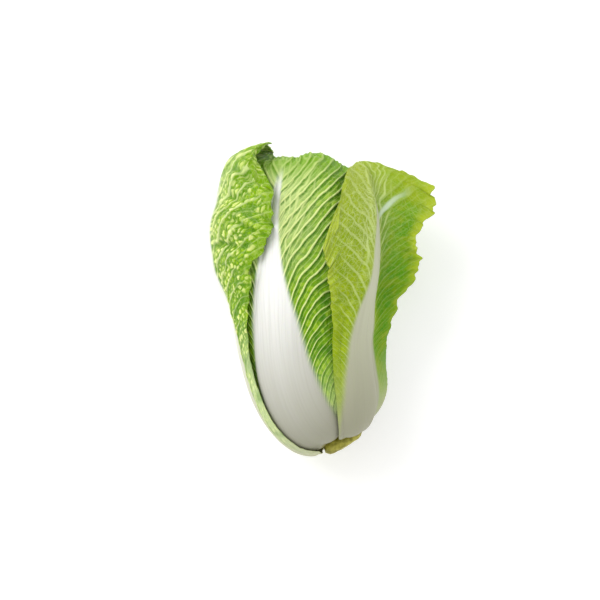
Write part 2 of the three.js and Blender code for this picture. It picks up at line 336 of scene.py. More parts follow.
def value_noise(x: Array, y: Array, seed: int) -> Array:
    """Smooth noise over a plane.

    Args:
        x: place across, in cells.
        y: place along, in cells.
        seed: which noise.

    Returns:
        Values from 0 to 1.
    """
    i0, j0 = np.floor(x), np.floor(y)
    u, v = x - i0, y - j0
    u, v = u * u * (3 - 2 * u), v * v * (3 - 2 * v)
    corner = [[lattice(seed, i0 + a, j0 + b)[0] for a in (0, 1)] for b in (0, 1)]
    low = corner[0][0] * (1 - u) + corner[0][1] * u
    high = corner[1][0] * (1 - u) + corner[1][1] * u
    return low * (1 - v) + high * v


# ---- leaves --------------------------------------------------------------------------------------
EVEN = (1, 1, 1, 1, 1)  # a share of the usual width at equal steps from the foot to the tip


class Skin(Enum):
    """A leaf's kind of finish."""

    SAVOYED = "savoyed"
    YELLOW = "yellow"
    OUTER = "outer"
    INNER = "inner"
    HEART = "heart"


@dataclass(frozen=True)
class LeafForm:
    """Sizes of one leaf. Its five-number shares run in equal steps from the foot to the tip."""

    name: str
    seed: int
    angle: float  # of the rib's foot, in degrees from straight up as it lies, towards +X
    level: float  # how far out it lies, for the width it wraps
    tip: float  # how far up the head it reaches
    drift: float = 8  # degrees that the rib wanders on its way up
    late: float = 1  # over 1, it wanders nearer the tip
    foot: float = 0  # how far up the head it starts
    left: Sequence[float] = EVEN  # width of its left side
    right: Sequence[float] = EVEN
    ribbed: Sequence[float] = EVEN  # width of its rib
    round: Tuple[float, float] = (0.17, 0.17)  # how far the left and right shoulders drop
    loose: float = 0  # more clear air beneath it
    size: float = 1
    pucker: float = 1.4  # height of the relief
    frill: float = 3  # height of the ruffles along the edges
    tip_frill: float = 3.5
    folds: float = 0  # height of the folds across the blade
    curl: float = 0  # how far the tip stands off
    spread: float = 0  # degrees by which the right side swings out; 0 for none
    white: Sequence[float] = (1, 1, 0.9, 0.5, 0.15)  # how much of the rib is white
    white_shift: Sequence[float] = (0, 0, 0, 0, 0)  # of the white to the right
    ragged: Tuple[float, float] = (1, 1)  # how ragged the left and right edges are
    veined: float = 0.7  # height of the side veins, as a share of the pucker
    blistered: float = 0.5  # height of the blisters, likewise
    cell: Tuple[float, float] = (7, 6)  # size of a blister
    crease: float = 0  # depth of the creases across the blade
    crown: float = 1.5  # height of the lumps along the top
    crown_at: Tuple[float, float] = (0, 300)  # their middle and half width
    trim: float = 0  # how much shorter the left side of the tip is
    notches: Sequence[Tuple[float, float, float, float]] = ()  # side, middle, half length, depth
    pitch: float = VEIN_PITCH
    steep: float = 0  # how much longer the upper side veins climb before they bend over
    pale: float = 15  # width of the pale band beside the rib
    fused: bool = False  # its foot is one with the heart
    skin: Skin = Skin.OUTER
    columns: int = 120
    rows: int = 200


@dataclass
class Spot:
    """Where points of a leaf lie: across it, along it and on the head."""

    rib: Array  # half width of the rib there
    width: Array  # place across, from the middle of the rib
    off: Array  # place across, from the middle of the white
    white: Array  # half width of the white
    share: Array  # of the way from the middle to the edge
    s: Array
    centre: Array  # angle of the rib's middle
    reach: Array  # radius that the leaf wraps round
    angle: Array


@dataclass
class Sheet:
    """The two faces of a leaf, and where each point lies and how high over the heart."""

    outer: Array
    inner: Array
    spot: Spot
    height: Array


@dataclass
class Leaf:
    """One leaf: a thick white rib that thins into a veined, ruffled blade."""

    form: LeafForm
    least_blade: float = 2  # kept beside the rib
    least_reach: float = 30  # radius that the leaf wraps round near the poles
    wrap: float = 150  # degrees that it can wrap each way
    drawn_up: float = 0.085  # how far its sides are drawn up the head, as a share of its length
    tip_bite: float = 1.3  # how much deeper the tip is bitten than the sides
    vein_start: float = 0.85  # of the white's half width, where the side veins set out
    vein_width: float = 0.12  # of a side vein, as a share of the pitch
    side_row: float = 40  # the sides' row of the raggedness
    tip_row: float = 80  # the tip's
    lobe: float = 13  # length along a ragged edge
    tooth: float = 3.4
    crease_pitch: float = 19
    fused_depth: float = 2.6  # of a heart leaf's foot in the heart
    hinge: float = 3  # from the rib to where the spread side swings out
    laid: Tuple[int, int] = (121, 131)  # points across and along that the height map takes

    def place(self, q: Array, b: Array, fine: bool) -> Spot:
        """Where points of the leaf lie on the head.

        Args:
            q: -1 to 1 across the leaf, with the rib inside RIB_SHARE.
            b: 0 to 1 along it.
            fine: with a ragged edge.

        Returns:
            The places.
        """
        f = self.form
        side = np.where(q < 0, along(f.left, b), along(f.right, b))
        rib = along(RIB_HALF_WIDTH, b) * f.size * along(f.ribbed, b)
        edge = np.maximum(along(BLADE_HALF_WIDTH, b) * f.size * side, rib + self.least_blade)
        if fine:
            row = np.sign(q) * self.side_row
            bite = self.raggedness(b, row, row) * smooth(b, 0.15, 0.4)
            for hand, middle, half, depth in f.notches:
                notch = depth * (1 - smooth(np.abs(b - middle), 0.55 * half, half))
                bite = bite + np.where(np.sign(q) == hand, notch, 0)
            edge = np.maximum(edge - bite, rib + self.least_blade)
        n = np.abs(q)
        outside = (n - RIB_SHARE) / (1 - RIB_SHARE)
        width = np.where(outside < 0, rib * n / RIB_SHARE, rib + (edge - rib) * outside)
        share = width / edge
        climb = self.drawn_up * np.sin(np.pi * np.clip(b / 0.86, 0, 1)) * share**0.8
        drop = np.where(q < 0, f.round[0], f.round[1]) * share**2.4 * smooth(b, 0.3, 1)
        s = f.foot + (f.tip - f.foot) * (b + climb * smooth(b, 0, 0.3) - drop)
        if fine:
            signed = np.sign(q) * width
            ragged = self.raggedness(signed / LEAF_LENGTH, np.full_like(b, self.tip_row), signed)
            trim = f.trim * (1 - smooth(signed, -14, 30)) * smooth(b, 0.8, 1)
            s = s - (self.tip_bite * ragged * smooth(b, 0.88, 1) + trim) / LEAF_LENGTH
        radius, _, nr, _ = side_line(s)
        reach = np.maximum(radius + f.level * nr, self.least_reach)
        centre = f.angle + f.drift * b**f.late
        width = np.sign(q) * width
        turn = np.clip(np.degrees(width / reach), -self.wrap, self.wrap)
        off = width - along(f.white_shift, b)
        white = rib * along(f.white, b)
        return Spot(rib, width, off, white, share, s, centre, reach, centre + turn)

    def raggedness(self, t: Array, row: Array, side: Array) -> Array:
        """How far the edge is bitten back, in millimetres.

        Args:
            t: place along the edge, as a share of the leaf's length.
            row: a number that tells one edge from another.
            side: place across the leaf; its two sides can be ragged to a different degree.

        Returns:
            The depth at each place.
        """
        f = self.form
        length = t * LEAF_LENGTH
        lobes = value_noise(length / self.lobe, row, f.seed + 31)
        teeth = value_noise(length / self.tooth, row + 7, f.seed + 32)
        left, right = f.ragged
        return (left + (right - left) * smooth(side, -12, 12)) * (1.7 * lobes + 0.6 * teeth)

    def wave(self, b: Array, at: Spot, fine: bool) -> Array:
        """How far the blade stands off the leaf beneath.

        Args:
            b: 0 to 1 along the leaf.
            at: the places.
            fine: with the veins' own relief in place of plain puckers.

        Returns:
            The height over the leaf beneath.
        """
        f = self.form
        blade = smooth(np.abs(at.width), at.rib, at.rib + 22)
        side = np.sign(at.width)
        phase = 1.7 * f.seed + side + 0.9 * np.sin(9 * b)
        ruffle = 0.5 + 0.5 * np.sin(2 * np.pi * RUFFLES * b + phase)
        edge = smooth(at.share, 0.62, 1) * smooth(b, 0.2, 0.5)
        tip = smooth(b, 0.86, 1)
        tip_wave = 0.5 + 0.5 * np.sin(at.width * 0.16 + f.seed)
        fold = 0.5 + 0.5 * np.sin(b * 44 + 1.6 * at.share + f.seed)
        relief = blade * (0.5 + 0.5 * np.cos(2 * np.pi * VEINS * b))
        crown = 0
        if fine:
            relief = self.relief(b, at)
            small = np.sin(2 * np.pi * 19 * b + 2 * np.sin(11 * b) + 3 * at.share + phase)
            ruffle = np.clip(0.72 * ruffle + 0.28 * small, 0, 1)
            fold = fold - self.crease_depth(b, at)
            crown = self.crown_height(b, at)
        return (
            f.pucker * relief
            + np.maximum(f.frill * edge * ruffle, f.tip_frill * tip * tip_wave)
            + f.folds * blade * smooth(b, 0.5, 0.72) * fold
            + f.curl * smooth(b, 0.85, 1) ** 2
            + crown
        )

    def crown_height(self, b: Array, at: Spot) -> Array:
        """Lumps that raise the top of the blade.

        Args:
            b: 0 to 1 along the leaf.
            at: the places.

        Returns:
            Their height.
        """
        f = self.form
        lumps = 0.4 + 0.6 * value_noise(at.width / 15, b * 7, f.seed + 41)
        middle, half = f.crown_at
        beside = 1 - smooth(np.abs(at.width - middle), 0.5 * half, half)
        return f.crown * smooth(b, 0.78, 0.94) * lumps * beside

    def crease_depth(self, b: Array, at: Spot) -> Array:
        """Sharp creases across the blade.

        Args:
            b: 0 to 1 along the leaf.
            at: the places.

        Returns:
            Their depth, as a share of the folds.
        """
        f = self.form
        if not f.crease:
            return np.zeros_like(b)
        length = b * LEAF_LENGTH + 5 * value_noise(at.width / 26, b * 8, f.seed + 12)
        apart = np.abs((length + 0.12 * at.width) / self.crease_pitch % 1 - 0.5)
        some = smooth(value_noise(at.width / 34, length / self.crease_pitch, f.seed + 13), 0.25, 0.6)
        return f.crease / max(f.folds, 1) * some * np.exp(-((apart / 0.14) ** 2))

    def vein_phase(self, at: Spot) -> Array:
        """Side veins, which leave the rib steeply and bend over towards the edge.

        Args:
            at: the places.

        Returns:
            How many veins lie between each point and the foot; on a vein it is a whole number.
        """
        f = self.form
        length = (at.s - f.foot) / (f.tip - f.foot) * LEAF_LENGTH
        out = np.maximum(np.abs(at.off) - self.vein_start * at.white, 0)
        climb = 1 + f.steep * smooth(length / LEAF_LENGTH, 0.45, 0.85)
        rise = VEIN_RISE * climb * (1 - np.exp(-out / (VEIN_BEND * climb))) + 0.08 * out
        # They wander over 42 mm, and waver over 9 mm.
        bend = 0.9 * value_noise(length / 42, out / 26, f.seed + 3)
        bend = bend + 0.22 * value_noise(length / 9, out / 8, f.seed + 4)
        reach = f.pitch * VEIN_GROWTH
        passed = VEIN_GROWTH * np.log(np.maximum(1 + (length - rise) / reach, 0.2))
        return passed + np.where(at.off < 0, 0.5, 0) + bend

    def blister(self, b: Array, at: Spot) -> Array:
        """Blisters between the small veins.

        Args:
            b: 0 to 1 along the leaf.
            at: the places.

        Returns:
            Their height, 0 to 1.
        """
        f = self.form
        length = at.s * LEAF_LENGTH
        shift = 3 * value_noise(at.width / 9, length / 9, f.seed + 9)
        across, up = f.cell
        gap, tag = cell_edges((at.width + shift) / across, (length + shift) / up, f.seed)
        small, _ = cell_edges((at.width + shift) / across * 2.2, (length - shift) / up * 2, f.seed + 4)
        return smooth(gap, 0, 0.5) * (0.4 + 0.6 * tag) * (0.65 + 0.35 * smooth(small, 0, 0.5))

    def relief(self, b: Array, at: Spot) -> Array:
        """Relief of the side veins and of the blisters between them.

        Args:
            b: 0 to 1 along the leaf.
            at: the places.

        Returns:
            Its height, as a share of the pucker.
        """
        f = self.form
        blade = smooth(np.abs(at.off), at.white * 0.95, at.white + 9)
        phase = self.vein_phase(at)
        apart = phase - np.round(phase)
        # A vein stands up, and the blade below it is sunk.
        vein = np.exp(-((apart / self.vein_width) ** 2))
        vein = vein - 0.3 * np.exp(-(((apart + 0.26) / self.vein_width) ** 2))
        vein = vein * (1 - 0.7 * smooth(at.share, 0.5, 1))
        amount = f.blistered * (0.35 + 0.65 * smooth(b, 0.35, 0.65))
        return blade * np.clip(amount * self.blister(b, at) + f.veined * vein, -0.4, 1.6)

    def thickness(self, b: Array, at: Spot) -> Array:
        """Thickness of the leaf: a thick crowned rib that thins into the blade.

        Args:
            b: 0 to 1 along the leaf.
            at: the places.

        Returns:
            The thickness.
        """
        share = np.clip(np.abs(at.width) / at.rib, 0, 1)
        crown = (1 - share**2.4) ** 0.8
        blade = BLADE + (RIM_BLADE - BLADE) * smooth(at.share, 0.8, 1)
        return blade + (along(RIB_THICKNESS, b) * self.form.size - BLADE) * crown

    def sheet(self, cover: Array, q: Array, b: Array, fine: bool) -> Sheet:
        """The leaf's two faces on the head, before it is settled.

        Args:
            cover: the cover of what lies beneath.
            q: -1 to 1 across the leaf.
            b: 0 to 1 along it.
            fine: with the finish's relief.

        Returns:
            The two faces.
        """
        f = self.form
        at = self.place(q, b, fine)
        free = smooth(b, 0.45, 0.75)
        loose = f.loose * smooth(b, 0.1, 0.6) * (1 - 0.7 * smooth(b, 0.75, 1))
        clear = LEAF_GAP + 1.4 * smooth(at.s, 0.55, 0.95) + loose
        deep = self.fused_depth
        gap = -deep + (clear + deep) * free if f.fused else clear
        wall = self.thickness(b, at) + (deep * (1 - free) if f.fused else 0)
        wave = self.wave(b, at, fine)
        low = StackMap.sample(cover, at.angle, at.s) + gap + wave
        outer = on_head(at.angle, at.s, low + wall)
        inner = on_head(at.angle, at.s, low)
        if f.spread:
            past, base, normal = self.swing(cover, b, at, gap)
            lift = wave * (1 + 0.6 * smooth(past, 0, 20))
            swung = (past > 0)[..., None]
            inner = np.where(swung, base + normal * lift[..., None], inner)
            outer = np.where(swung, base + normal * (lift + wall)[..., None], outer)
        return Sheet(outer, inner, at, low + wall)

    def swing(self, cover: Array, b: Array, at: Spot, gap: Array) -> Tuple[Array, Array, Array]:
        """The right side as it leaves the head like a wing, past a hinge beside the rib.

        Args:
            cover: the cover of what lies beneath.
            b: 0 to 1 along the leaf.
            at: the places.
            gap: clear air over the cover.

        Returns:
            How far past the hinge each point is, its place, and the way off the wing there.
        """
        hinge = at.rib + self.hinge
        hinge_angle = at.centre + np.degrees(hinge / at.reach)
        past = np.maximum(at.width - hinge, 0)
        heading = self.form.spread - 16 * smooth(b, 0.5, 0.95)
        lean = np.radians(hinge_angle + 90 - heading) * smooth(b, 0.2, 0.55) * (past / (past + 9))
        cos, sin = np.cos(lean)[..., None], np.sin(lean)[..., None]
        turn = np.radians(hinge_angle)
        nil = np.zeros_like(turn)
        tangent = np.stack([np.cos(turn), nil, -np.sin(turn)], -1)
        outward = np.stack([np.sin(turn), nil, np.cos(turn)], -1)
        start = StackMap.sample(cover, hinge_angle, at.s) + gap
        base = on_head(hinge_angle, at.s, start) + (tangent * cos + outward * sin) * past[..., None]
        return past, base, outward * cos - tangent * sin

    def lay_on(self, stack: StackMap, cover: Array) -> None:
        """Adds what the leaf covers to the height map.

        Args:
            stack: the map.
            cover: the cover of what lies beneath.
        """
        q, b = np.meshgrid(np.linspace(-1, 1, self.laid[0]), np.linspace(0, 1, self.laid[1]))
        sheet = self.sheet(cover, q, b, False)
        spot = sheet.spot
        keep = np.ones(q.shape, bool)
        if self.form.spread:
            keep = spot.width <= spot.rib + 2 * self.hinge
        stack.add(spot.angle[keep], spot.s[keep], sheet.height[keep])


# ---- mesh making ---------------------------------------------------------------------------------
def deselect_all() -> None:
    """Leaves nothing selected, in object mode."""
    if bpy.context.mode != "OBJECT":
        bpy.ops.object.mode_set(mode="OBJECT")
    bpy.ops.object.select_all(action="DESELECT")


def apply_modifiers(piece: bpy.types.Object) -> None:
    """Applies a piece's modifiers in order.

    Args:
        piece: the piece.
    """
    bpy.context.view_layer.objects.active = piece
    for modifier in list(piece.modifiers):
        bpy.ops.object.modifier_apply(modifier=modifier.name)


def vertex_places(mesh: bpy.types.Mesh) -> Array:
    """Reads where a mesh's vertices are.

    Args:
        mesh: the mesh.

    Returns:
        Their places, one row each.
    """
    flat = np.empty(len(mesh.vertices) * 3, np.float32)
    mesh.vertices.foreach_get("co", flat)
    return flat.reshape(-1, 3).astype(float)


def set_places(mesh: bpy.types.Mesh, places: Array) -> None:
    """Moves a mesh's vertices."""
    mesh.vertices.foreach_set("co", places.astype(np.float32).ravel())
    mesh.update()


def set_number(mesh: bpy.types.Mesh, name: str, values: Array) -> None:
    """Keeps a number at each vertex for the finish to read."""
    layer = mesh.attributes.new(name, "FLOAT", "POINT")
    layer.data.foreach_set("value", values.astype(np.float32).ravel())


def turn_faces_out(piece: bpy.types.Object) -> None:
    """Turns a closed piece's faces outwards.

    Args:
        piece: the piece.
    """
    deselect_all()
    piece.select_set(True)
    bpy.context.view_layer.objects.active = piece
    bpy.ops.object.mode_set(mode="EDIT")
    bpy.ops.mesh.select_all(action="SELECT")
    bpy.ops.mesh.normals_make_consistent(inside=False)
    bpy.ops.object.mode_set(mode="OBJECT")


def set_map(mesh: bpy.types.Mesh, name: str, u: Array, v: Array) -> None:
    """Lays a UV map from a pair of numbers at each vertex.

    Args:
        mesh: the mesh.
        name: the map's name.
        u: the first numbers.
        v: the second ones.
    """
    loops = np.empty(len(mesh.loops), np.int32)
    mesh.loops.foreach_get("vertex_index", loops)
    layer = mesh.uv_layers.get(name) or mesh.uv_layers.new(name=name)
    pairs = np.stack([u[loops], v[loops]], -1)
    layer.data.foreach_set("uv", pairs.astype(np.float32).ravel())


class HeadPlace:
    """Where the settled head stands in the frame: over the ground and inside the box."""

    def __init__(self, box: Sequence[Sequence[float]]) -> None:
        """Takes the frame's box, in metres."""
        self.low = np.array(box[0]) / MM
        self.high = np.array(box[1]) / MM

    def press(self, points: Array) -> Array:
        """How far points near the tips are pressed back, so that none passes the box's end.

        Args:
            points: settled points.

        Returns:
            The way back along the head, growing softly from nil.
        """
        past = np.maximum(points[..., 1] + HEAD_SHIFT[1] - (self.high[1] - PRESS_REACH), 0)
        return past - PRESS_ROOM * (1 - np.exp(-past / PRESS_ROOM))

    def lay(self, points: Array, wall: float, back: Union[Array, float] = 0.0) -> Array:
        """Moves settled points into the frame.

        Args:
            points: settled points.
            wall: least height over the ground.
            back: how far each is pressed back along the head.

        Returns:
            Points in metres.
        """
        placed = points + HEAD_SHIFT
        placed[..., 1] -= back
        placed[..., 2] = np.maximum(placed[..., 2], wall)
        return np.clip(placed, self.low + BOX_CLEAR, self.high - BOX_CLEAR) * MM


def grid_sheet(name: str, columns: int, rows: int) -> bpy.types.Object:
    """A flat grid, from -1 to 1 both ways, given a wall and a rim.

    Args:
        name: the piece's name.
        columns: cells across.
        rows: cells along.

    Returns:
        The piece: its first half of vertices is the outer face, its second half the inner one.
    """
    deselect_all()
    bpy.ops.mesh.primitive_grid_add(x_subdivisions=columns, y_subdivisions=rows, size=2)
    piece = bpy.context.active_object
    piece.name = piece.data.name = name
    wall = piece.modifiers.new("wall", "SOLIDIFY")
    wall.thickness = 0.01
    wall.offset = -1
    wall.use_even_offset = False
    apply_modifiers(piece)
    return piece


def dress_leaf(piece: bpy.types.Object, leaf: Leaf, cover: Array, head: HeadPlace) -> None:
    """Shapes a walled grid into a leaf and keeps what its finish reads.

    Args:
        piece: the walled grid.
        leaf: the leaf.
        cover: the cover of what lies beneath it.
        head: where the head stands.
    """
    mesh = piece.data
    places = vertex_places(mesh)
    half = len(places) // 2
    x = np.clip(places[:half, 0], -1, 1)
    b = np.clip((places[:half, 1] + 1) / 2, 0, 1)
    n = np.abs(x)
    on_blade = RIB_SHARE + (n - RIB_COLUMNS) / (1 - RIB_COLUMNS) * (1 - RIB_SHARE)
    q = np.sign(x) * np.where(n < RIB_COLUMNS, n / RIB_COLUMNS * RIB_SHARE, on_blade)
    sheet = leaf.sheet(cover, q, b, True)
    back = head.press(settle(sheet.outer))
    outer = head.lay(settle(sheet.outer), 0, back)
    inner = head.lay(settle(sheet.inner), LEAST_WALL, back)
    set_places(mesh, np.concatenate([outer, inner]))
    form, spot = leaf.form, sheet.spot
    rib = 1 - smooth(np.abs(spot.off), spot.white * 0.86, spot.white + 2.2)
    beside = np.maximum(np.abs(spot.off) - spot.white, 0)
    numbers = {
        "rib": rib * smooth(spot.white, 0.8, 2.2),
        "margin": spot.share,
        "length": b,
        "halo": np.exp(-((beside / form.pale) ** 2)) * smooth(b, 0.48, 0.8),
        "wing": smooth(spot.width - spot.rib, -1, 7) if form.spread else np.zeros_like(b),
        "crease": leaf.crease_depth(b, spot) * max(form.folds, 1),
        "blister": leaf.blister(b, spot),
    }
    for name, values in numbers.items():
        set_number(mesh, name, np.tile(values, 2))
    set_map(mesh, "blade", np.tile(spot.width / ACROSS_UNIT, 2), np.tile(b * UP_UNITS, 2))
    set_map(mesh, "veins", np.tile(leaf.vein_phase(spot), 2), np.tile(spot.share, 2))
    mesh.shade_smooth()


# ---- materials -----------------------------------------------------------------------------------
MATH = "ShaderNodeMath"
STEP = "ShaderNodeMapRange"
MIX = "ShaderNodeMix"
NOISE = "ShaderNodeTexNoise"
PARTS = "ShaderNodeSeparateXYZ"


def linear(hex_colour: str) -> Tuple[float, float, float, float]:
    """Turns an sRGB hex value into linear RGBA.

    Args:
        hex_colour: six hex digits.

    Returns:
        Red, green, blue and an alpha of 1.
    """
    parts = [int(hex_colour[i : i + 2], 16) / 255 for i in (0, 2, 4)]
    red, green, blue = (c / 12.92 if c <= 0.04045 else ((c + 0.055) / 1.055) ** 2.4 for c in parts)
    return red, green, blue, 1.0


class Finish:
    """A node material under way."""

    def __init__(self, name: str, roughness: float) -> None:
        """Starts with one principled shader.

        Args:
            name: what the real material is.
            roughness: how matt it is.
        """
        self.material = bpy.data.materials.new(name)
        self.material.use_nodes = True
        self.tree = self.material.node_tree
        self.shader = self.tree.nodes["Principled BSDF"]
        self.shader.inputs["Roughness"].default_value = roughness

    def add(self, kind: str, links: Links = (), out: Union[int, str] = 0, **settings: str) -> Socket:
        """Adds a node.

        Args:
            kind: the node's type.
            links: what its inputs take, a socket or a value each, in order or by name or number.
            out: which of its outputs is wanted.
            settings: the node's own settings.

        Returns:
            The output.
        """
        node = self.tree.nodes.new(kind)
        for key, value in settings.items():
            setattr(node, key, value)
        for key, value in links.items() if isinstance(links, dict) else enumerate(links):
            if isinstance(value, Socket):
                self.tree.links.new(value, node.inputs[key])
            else:
                node.inputs[key].default_value = value
        return node.outputs[out]

    def link(self, socket: Socket, name: str) -> None:
        """Feeds one of the shader's own sockets."""
        self.tree.links.new(socket, self.shader.inputs[name])

    def mask(self, *factors: Factor) -> Socket:
        """Where a colour or a pattern shows, as a product of numbers and smooth steps.

        Args:
            factors: numbers, or steps as (number, low, high, value at low, value at high).

        Returns:
            The product.
        """
        product = None
        for factor in factors:
            if isinstance(factor, tuple):
                factor = self.add(STEP, factor, interpolation_type="SMOOTHSTEP")
            product = factor if product is None else self.add(MATH, (product, factor), operation="MULTIPLY")
        return product

    def layers(self, ground: Union[Socket, str], *layers: Tuple[Factor, str]) -> Socket:
        """Colours laid over one another in turn.

        Args:
            ground: the colour beneath, as sRGB hex or a socket.
            layers: how much of each colour is laid on, and the colour, as sRGB hex.

        Returns:
            The colour on top.
        """
        colour = linear(ground) if isinstance(ground, str) else ground
        for amount, hex_colour in layers:
            links = {0: self.mask(amount), 6: colour, 7: linear(hex_colour)}
            colour = self.add(MIX, links, 2, data_type="RGBA")
        return colour


@dataclass(frozen=True)
class LeafTint:
    """Colours of a leaf, as sRGB hex, and how strongly its patterns show, 0 to 1."""

    name: str
    rib: str
    # grey beige at the foot: painted shade on the rib; on the blade partly the pale base's own colour and
    # partly painted shade
    foot: str
    blade: str
    # darker green: random clouds and spots, and painted shade in the hollows between the blisters, in the
    # creases and below the side veins
    deep: str
    edge: str
    # painted highlight on the blisters' crests
    crest_highlight: str
    vein: str
    pale: str
    # strength of the painted shade between the blisters and of the painted highlight on their crests
    blisters: float
    # strength of the side veins and of the painted shade below them
    veins: float
    net: float
    halo: float
    steep: float = 0
    wing: str = ""  # painted shade on the flared side, which faces away from the key light, if it has one
    pale_to: float = 0.3  # how far up from the foot the blade is pale
    top: float = 0.45
    tip: float = 0.25


TINTS = {
    Skin.SAVOYED: LeafTint(
        "leaf_savoyed_green", "f6f6ee", "c3c4a2", "9ac200", "528a00", "80ac00", "eef894", "f4fcb4", "d5e2ac",
        blisters=1.0, veins=0.6, net=0.2, halo=0.3, pale_to=0.42, top=0.35, tip=0.1,
    ),
    Skin.YELLOW: LeafTint(
        # Leaf B's rib colour is painted shade: the white rib greyed, as it lies on the side away from the
        # key light.
        "leaf_yellow_green", "c6c8ae", "a09f88", "94ac04", "809c00", "aec02c", "a4ba14", "d4e498", "c0c888",
        # Its wing colour is painted shade on the flared side, which faces away from the key light.
        blisters=0.4, veins=0.45, net=0.55, halo=0.3, steep=0.6, wing="4f8e00",
    ),
    Skin.OUTER: LeafTint(
        "leaf_outer_green", "fbfbf7", "9c9b86", "7caa00", "3f7c00", "78ac00", "a6c828", "e8f6a2", "d6e89c",
        blisters=0.5, veins=0.95, net=0.22, halo=0.85, steep=0.65, tip=0.6,
    ),
    Skin.INNER: LeafTint(
        "leaf_inner_pale", "f3f3e4", "e2e2c6", "b7cb5c", "93b532", "9bbd34", "d5e08e", "e6eebc", "dfe8b0",
        blisters=0.5, veins=0.7, net=0.35, halo=0.5,
    ),
    Skin.HEART: LeafTint(
        "leaf_heart_yellow", "f5f4e0", "ebeac8", "d9dc72", "c5cc4e", "c5d44e", "e8ea9e", "f1f1c2", "eef0ba",
        blisters=0.5, veins=0.7, net=0.35, halo=0.5,
    ),
}
FOOT_OLIVE = "a39d5c"  # where a leaf meets the stem
WING_VEIN = "cfe0c4"
WING_VEIN_SLOPE = 1.05
WING_VEIN_START = 2.166  # on the map along the leaf


